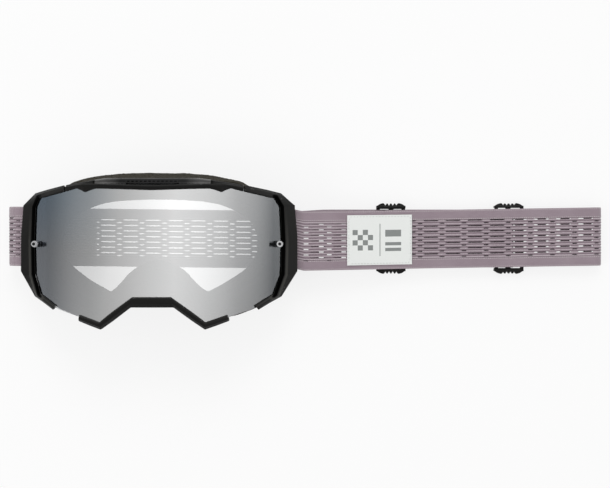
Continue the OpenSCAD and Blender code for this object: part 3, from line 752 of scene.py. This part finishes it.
front_line = trail(
    1,
    [(bar_x + 7, anchor_top - 2.3), (bar_x + 5, anchor_top - 2.2)]
    + arc((bar_x, bar_z), anchor_r, -65, -270, 16),
    [(x, front_level(x)) for x in [bar_x + 2] + list(range(95, 285, 3)) + [front_end]])
front_longer = front_line[-1][0] - front_end
front_columns = [(98.7, 0), (177.1 + front_longer * 0.75, 5), (298.35 + front_longer, 13)]
front_slotted = (95.5, front_line[-1][0] - 0.3)
front_strip = webbing_strip("strap_right_top", front_line, front_columns, front_slotted,
                            front_bow, row_lift, None)
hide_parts("strap_right_front", "strap_right_run")

back_line = trail(
    0,
    [(front_end, run_level), (bulb_x, run_level), (294, run_level)],
    arc(bulb_c, bulb_r, 90, -90, 24),
    [(293.9, 1.86), (290.2, 4.5), (bulb_x, right_level)]
    + [(x, right_level) for x in range(285, 156, -4)],
    arc((end_a, right_level + turn_a), turn_a, 270, 90, 12),
    [(160, loop_high), (165.3, loop_high), (170.3, 6.05), (174, 6.05), (177.8, 6.05)])
rear_start = [u for u, x, z in back_line if abs(x - bulb_x) < 0.01 and z < 6][0]
rear_origin = rear_start + bulb_x
back_columns = [(283.2, 12), (298.35, 13), (rear_origin - 277.2, 15), (rear_origin - 198.7, 20)]
back_slotted = (front_end + 0.05, rear_origin - 179.3)
back_strip = webbing_strip("strap_right_back", back_line, back_columns, back_slotted,
                           rear_bow, row_lift, "strap_slide", slim_from=rear_start - 8)
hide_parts("strap_right_fold", "strap_right_band")
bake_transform(front_strip)

# Adjusters: moulded plastic ladders with toothed ends that fingers grip. The teeth are cut
# in deeper than on the plain solid, and the bars' ends come up close to the webbing.
ends_from, teeth_from, teeth_to = 20.9, 21.6, 24.5
toothed_half, closer = 4.2, 0.75
for name, body in (("slider_a", "strap_slide"), ("slider_b", "goggles")):
    adjuster = rounded_copy(name, hard_black, 0.22, 3, body)
    xs = [vertex.co.x / MM for vertex in adjuster.data.vertices]
    middle = (min(xs) + max(xs)) / 2
    tooth = teeth_to - teeth_from
    for vertex, x in zip(adjuster.data.vertices, xs):
        y = abs(vertex.co.y) / MM
        if teeth_from < y < teeth_to:
            deeper = teeth_from + tooth * ease(ease((y - teeth_from) / tooth))
            beside = ease((abs(x - middle) - toothed_half) / 0.8)
            vertex.co.y = math.copysign(mix(deeper, y, beside), vertex.co.y) * MM
        if ends_from < y < teeth_from and (name == "slider_a" or vertex.co.y < 0):
            nearer = closer * min(1, (teeth_from - y) / 0.35)
            vertex.co.y -= math.copysign(nearer, vertex.co.y) * MM

# Labels: woven satin patches, heat-cut and sewn down all round with a short straight stitch.
# The front one carries a plain grey chequer block, a rule and three bars.
label_cloth, shader, place = new_material("label_cloth")
lay = marked(place, "lay", "Vector")
along, over = lay.axis(0) * 1000, lay.axis(1) * 1000
fuzz = noise(place, 3000, 3)
satin_warp = over.waves(0.34) * 0.5 + 0.5
satin_weft = along.waves(0.5, satin_warp) * 0.5 + 0.5
weave = satin_warp * 0.4 + satin_weft * 0.3 + fuzz * 0.3
white_yarn = blend_colours(weave, (0.76, 0.78, 0.76), (0.86, 0.88, 0.86))
grey_yarn = blend_colours(weave, (0.14, 0.155, 0.15), (0.22, 0.235, 0.23))
block_u, block_v, square = (3.6, 17.6), (-7, 7), 3.5
in_block = along.between(*block_u) * over.between(*block_v)
chequer = (along / square - block_u[0] / square).maths("FLOOR") + (over / square).maths("FLOOR")
dark_square = chequer.maths("MODULO", 2).maths("ABSOLUTE") > 0.5
rule = along.near(22.4, 0.28) * over.between(-11, 11)
bars = along.between(26, 37) * (over.near(4.5, 2.3) + over.near(-2.7, 1.1) + over.near(-6.6, 1.1))
artwork = in_block * dark_square + rule + bars
printed = artwork.maths("MINIMUM", 1.0) * marked(place, "printed")
feed(shader, "Base Color", blend_colours(printed * (0.85 + fuzz * 0.15), white_yarn, grey_yarn))
shader.inputs["Roughness"].default_value = 0.62
shader.inputs["Sheen Weight"].default_value = 0.2
bump(shader, weave, 0.00008)

thread_white, shader, place = new_material("thread_white")
twist = noise(place, 4000, 2)
feed(shader, "Base Color", blend_colours(twist, (0.5, 0.51, 0.5), (0.72, 0.73, 0.72)))
shader.inputs["Roughness"].default_value = 0.7


def stitches(name, route, normals, stitch=1.5, skip=0.7, thick=0.17):
    """Short sunk threads along a route of points in millimetres, as one mesh."""
    sides = 6
    half_way = [(0, -0.12, 0.3), (0.25, 0.06, 0.9), (0.5, 0.12, 1)]
    profile = half_way + [(1 - share, lift, size) for share, lift, size in half_way[1::-1]]
    verts, faces = [], []
    lengths = [0]
    for a, b in zip(route, route[1:]):
        lengths.append(lengths[-1] + (b - a).length)

    def at(distance):
        k = 0
        while k < len(route) - 2 and distance > lengths[k + 1]:
            k += 1
        s = (distance - lengths[k]) / (lengths[k + 1] - lengths[k])
        return route[k].lerp(route[k + 1], s), normals[k].lerp(normals[k + 1], s).normalized()

    start = 0.2
    while start + stitch < lengths[-1]:
        base = len(verts)
        for share, lift, size in profile:
            centre, up = at(start + share * stitch)
            ahead = (at(start + share * stitch + 0.1)[0] - centre).normalized()
            aside = ahead.cross(up).normalized()
            for k in range(sides):
                turn = 2 * math.pi / sides * k
                offset = aside * math.cos(turn) + up * math.sin(turn)
                verts.append((centre + up * lift + offset * thick * size) * MM)
        last = len(verts) - sides
        for ring in range(base, last, sides):
            for k in range(sides):
                a, b = ring + k, ring + (k + 1) % sides
                faces.append([a, b, b + sides, a + sides])
        faces.append(list(range(base + sides - 1, base - 1, -1)))
        faces.append(list(range(last, last + sides)))
        start += stitch + skip
    add_piece(name, verts, faces, thread_white, "goggles")


label_long, label_half, label_thick = 44.6, 17, 0.6
label_lift = strap_thick / 2 + rib_height + 0.38
seam_inset = 1.1


def label_patch(name, replaced, place_at, printed, length):
    """A patch from a function that gives place and upward direction for along and over."""
    columns = [0, 0.25, length - 0.25, length]
    columns += [0.7 + (length - 1.4) * k / 24 for k in range(25)]
    rows = [-label_half, 0.2 - label_half, label_half - 0.2, label_half]
    rows += [(label_half - 0.7) * (k / 9 - 1) for k in range(19)]
    columns.sort()
    rows.sort()
    verts, marks = [], []
    for u in columns:
        for v in rows:
            rim = min(u, length - u, label_half - abs(v))
            half = label_thick / 2 * min(1, 0.35 + rim * 1.3)
            stitched = -0.12 * math.exp(-((rim - seam_inset) / 0.5) ** 2)
            wave = ripple.noise(Vector((u * 0.09, v * 0.09, 9 + len(name)))) * 0.12
            centre, up = place_at(u, v)
            for side in (1, -1):
                verts.append((centre + up * (side * half + stitched * (side > 0) + wave)) * MM)
                marks += [u * MM, v * MM, 0]
    cells = {(i, j) for i in range(len(columns) - 1) for j in range(len(rows) - 1)}
    patch = double_sheet(name, len(rows), cells, verts, marks, label_cloth, "goggles")
    mark = patch.data.attributes.new("printed", "FLOAT", "POINT")
    mark.data.foreach_set("value", [printed] * len(verts))
    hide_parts(replaced)
    far_u, far_v = length - seam_inset, label_half - seam_inset
    loop = [(seam_inset, v) for v in range(-15, 17, 4)]
    loop += [(u, far_v) for u in range(2, int(length) - 1, 4)]
    loop += [(far_u, v) for v in range(15, -17, -4)]
    loop += [(u, -far_v) for u in range(int(length) - 2, 1, -4)]
    placed = [place_at(u, v) for u, v in loop + loop[:1]]
    route = [centre + up * (label_thick / 2 - 0.02) for centre, up in placed]
    stitches(name + "_stitches", route, [up for _, up in placed])


label_start = 126.4
rear_label_start, rear_label_long = -77.5, 31


def on_front_strap(u, v):
    x = label_start + u
    z, ahead = front_level(x), front_level(x + 0.5)
    along = Vector((0.5, 0, ahead - z)).normalized()
    up = Vector((-along.z, 0, along.x))
    return Vector((x, v + front_bow(x), z)) + up * label_lift, up


def under_rear_strap(u, v):
    return Vector((rear_label_start + u, v + 0.2, label_thick / 2 + 0.01)), Vector((0, 0, -1))


label_patch("label_on_strap", "label_front", on_front_strap, 1.0, label_long)
label_patch("label_under_strap", "label_rear", under_rear_strap, 0.0, rear_label_long)
